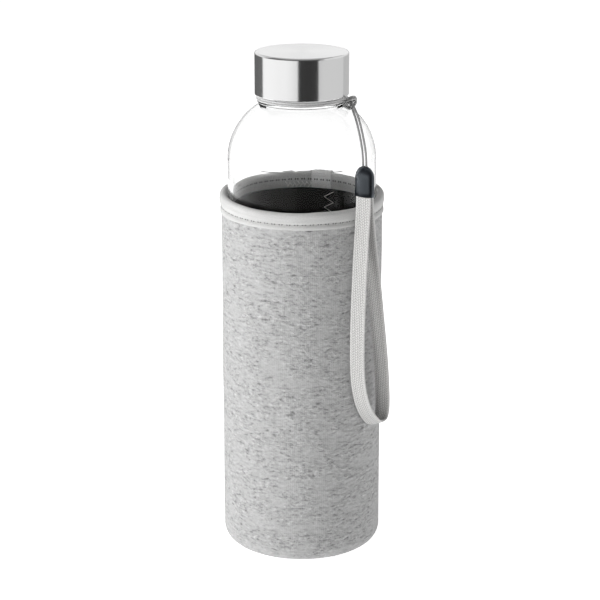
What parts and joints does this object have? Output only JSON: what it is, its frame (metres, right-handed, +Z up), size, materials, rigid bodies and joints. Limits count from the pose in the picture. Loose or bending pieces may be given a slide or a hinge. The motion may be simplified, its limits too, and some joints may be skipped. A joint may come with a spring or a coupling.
{
  "type": "glass water bottle",
  "caption": "Clear glass bottle with a steel screw lid, in a padded knit sleeve, with a flat wrist strap hanging from a cord round its neck.",
  "frame": {"origin": "centre of the sleeve's base, on the surface that it stands on", "axes": "+Z up along the bottle's axis, +X to the side where the cord's hitch is, -Y the front"},
  "size_m": [0.0727, 0.0732, 0.22],
  "materials": {
    "glass": "clear, polished",
    "steel": "satin top, turned side",
    "liner": "moulded polypropylene",
    "silicone": "soft, translucent white",
    "jersey": "heather grey knit",
    "lining": "black knit",
    "foam": "closed-cell foam",
    "binding": "light grey elastic tape",
    "grey_thread": "spun thread",
    "white_thread": "spun thread",
    "cord": "braided cord",
    "strap": "flat braid",
    "black_plastic": "moulded, satin",
    "crimp": "folded clip"
  },
  "bodies": {
    "sleeve": {"sleeve_jersey": "jersey", "sleeve_foam": "foam", "sleeve_lining": "lining", "base_jersey": "jersey", "base_foam": "foam", "base_lining": "lining", "rim_binding": "binding", "rim_stitches": "grey_thread", "binding_tack": "grey_thread", "seam_zigzag_outer": "grey_thread", "seam_zigzag_inner": "white_thread", "base_stitches": "grey_thread"},
    "bottle": {"glass_bottle": "glass"},
    "lid_seal": {"lid_gasket": "silicone"},
    "lid": {"lid_shell": "steel", "lid_liner": "liner"},
    "neck_loop": {"neck_cord": "cord", "cord_hitch": "cord"},
    "strap": {"cord_leg_left": "cord", "cord_leg_right": "cord", "cord_crimp": "crimp", "cord_end_cap": "black_plastic", "wrist_strap": "strap", "strap_tack": "grey_thread"}
  },
  "joints": [
    {"name": "bottle_lift", "type": "slide", "parent": "sleeve", "child": "bottle", "axis": [0, 0, 1], "range_m": [0, 0.165]},
    {"name": "lid_lift", "type": "slide", "parent": "bottle", "child": "lid_seal", "axis": [0, 0, 1], "range_m": [0, 0.0181]},
    {"name": "lid_turn", "type": "hinge", "parent": "lid_seal", "child": "lid", "pos_m": [0, 0, 0.21], "axis": [0, 0, 1], "range_deg": [0, 1620]},
    {"name": "cord_turn", "type": "hinge", "parent": "bottle", "child": "neck_loop", "pos_m": [0, 0, 0.2005], "axis": [0, 0, 1], "continuous": true},
    {"name": "strap_swing", "type": "hinge", "parent": "neck_loop", "child": "strap", "pos_m": [0.02118, -0.00568, 0.20024], "axis": [-0.6157, -0.788, 0], "range_deg": [0, 100]}
  ],
  "couplings": [
    {"joint": "lid_lift", "follows": "lid_turn", "m_per_rad": 0.00063662}
  ]
}
